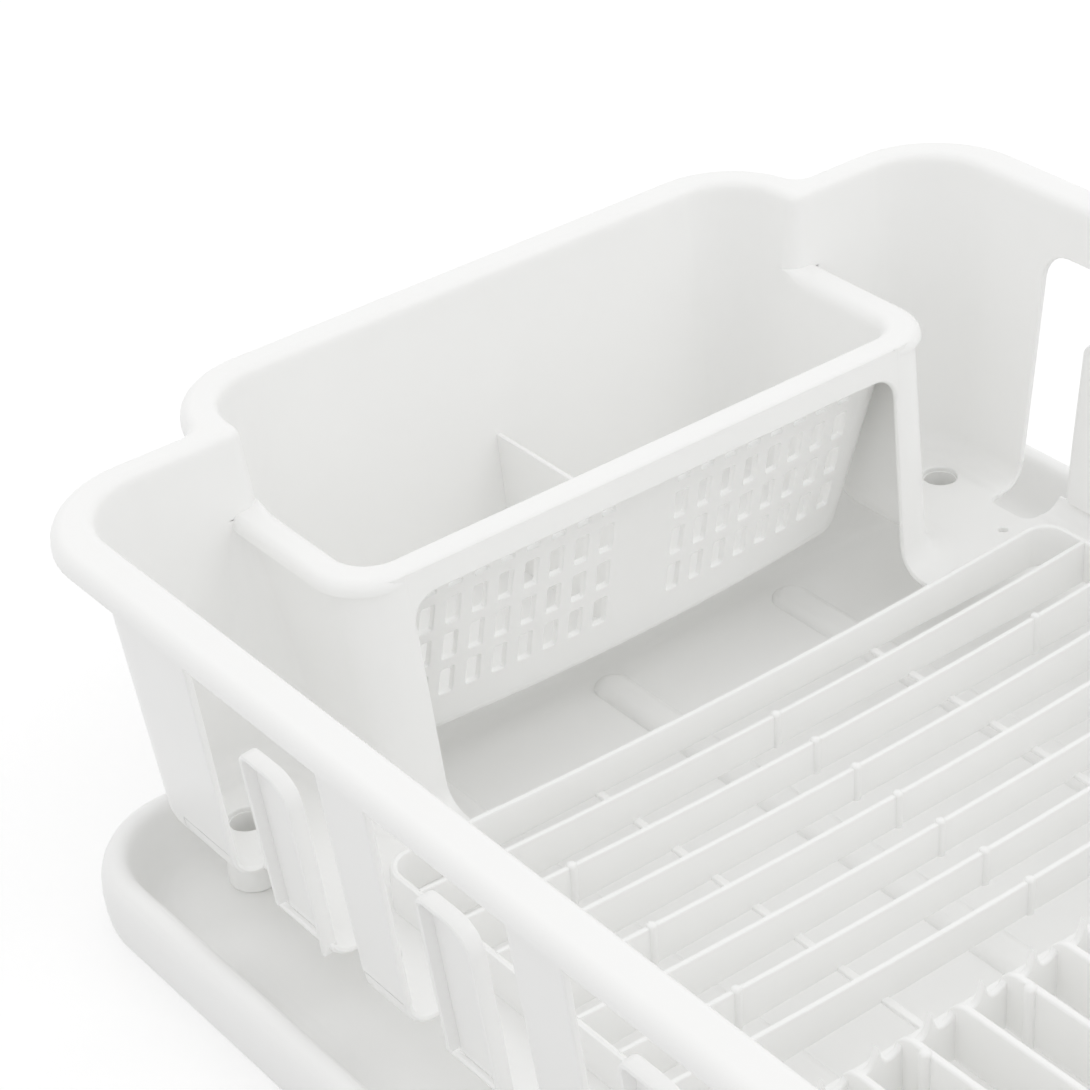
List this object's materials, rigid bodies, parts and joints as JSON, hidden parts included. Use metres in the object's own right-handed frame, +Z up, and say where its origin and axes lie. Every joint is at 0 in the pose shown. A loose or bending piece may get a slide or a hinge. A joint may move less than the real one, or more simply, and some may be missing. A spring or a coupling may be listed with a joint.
{
  "type": "dish drying rack",
  "caption": "White moulded dish drying rack: a drainer basket with slatted floor, plate fins, cup prongs and a built-in utensil bin, standing in a rimmed drainboard.",
  "frame": {"origin": "centre of the whole object's footprint, on the table", "axes": "+X along the length, from the utensil bin to the drain lip; +Z up"},
  "size_m": [0.54, 0.386, 0.1345],
  "materials": {
    "rack_plastic": "white injection-moulded polypropylene, smooth with a soft gloss",
    "tray_plastic": "white injection-moulded polypropylene, smooth with a soft gloss"
  },
  "bodies": {
    "drainboard": {"tray_pan": "tray_plastic", "tray_rim": "tray_plastic", "tray_ribs": "tray_plastic", "drain_lip": "tray_plastic"},
    "drainer": {"rim_near": "rack_plastic", "rim_far": "rack_plastic", "rim_bin_end": "rack_plastic", "rim_plain_end": "rack_plastic", "wall_bin_near": "rack_plastic", "wall_bin_far": "rack_plastic", "wall_plain_near": "rack_plastic", "wall_plain_far": "rack_plastic", "strut_near_1": "rack_plastic", "strut_near_2": "rack_plastic", "strut_near_3": "rack_plastic", "strut_far_1": "rack_plastic", "strut_far_2": "rack_plastic", "strut_far_3": "rack_plastic", "strut_end_1": "rack_plastic", "strut_end_2": "rack_plastic", "prong_near_1": "rack_plastic", "prong_near_2": "rack_plastic", "prong_near_3": "rack_plastic", "prong_near_4": "rack_plastic", "prong_far_1": "rack_plastic", "prong_far_2": "rack_plastic", "prong_far_3": "rack_plastic", "prong_far_4": "rack_plastic", "prong_end_1": "rack_plastic", "prong_end_2": "rack_plastic", "prong_end_3": "rack_plastic", "ledge_near": "rack_plastic", "ledge_far": "rack_plastic", "ledge_plain": "rack_plastic", "rail_near": "rack_plastic", "rail_far": "rack_plastic", "pocket_near": "rack_plastic", "pocket_far": "rack_plastic", "foot_bin_near": "rack_plastic", "foot_bin_far": "rack_plastic", "foot_plain_near": "rack_plastic", "foot_plain_far": "rack_plastic", "floor_slats": "rack_plastic", "cross_ribs": "rack_plastic", "plate_fins": "rack_plastic", "comb_front": "rack_plastic", "comb_rear": "rack_plastic", "bin_back": "rack_plastic", "bin_side_near": "rack_plastic", "bin_side_far": "rack_plastic", "bin_floor": "rack_plastic", "bin_front": "rack_plastic", "bin_divider": "rack_plastic", "bin_rim": "rack_plastic", "portal": "rack_plastic", "wing_near": "rack_plastic", "wing_far": "rack_plastic"}
  },
  "joints": [
    {"name": "drainer_lift", "type": "slide", "parent": "drainboard", "child": "drainer", "axis": [0, 0, 1], "range_m": [0, 0.12]}
  ]
}
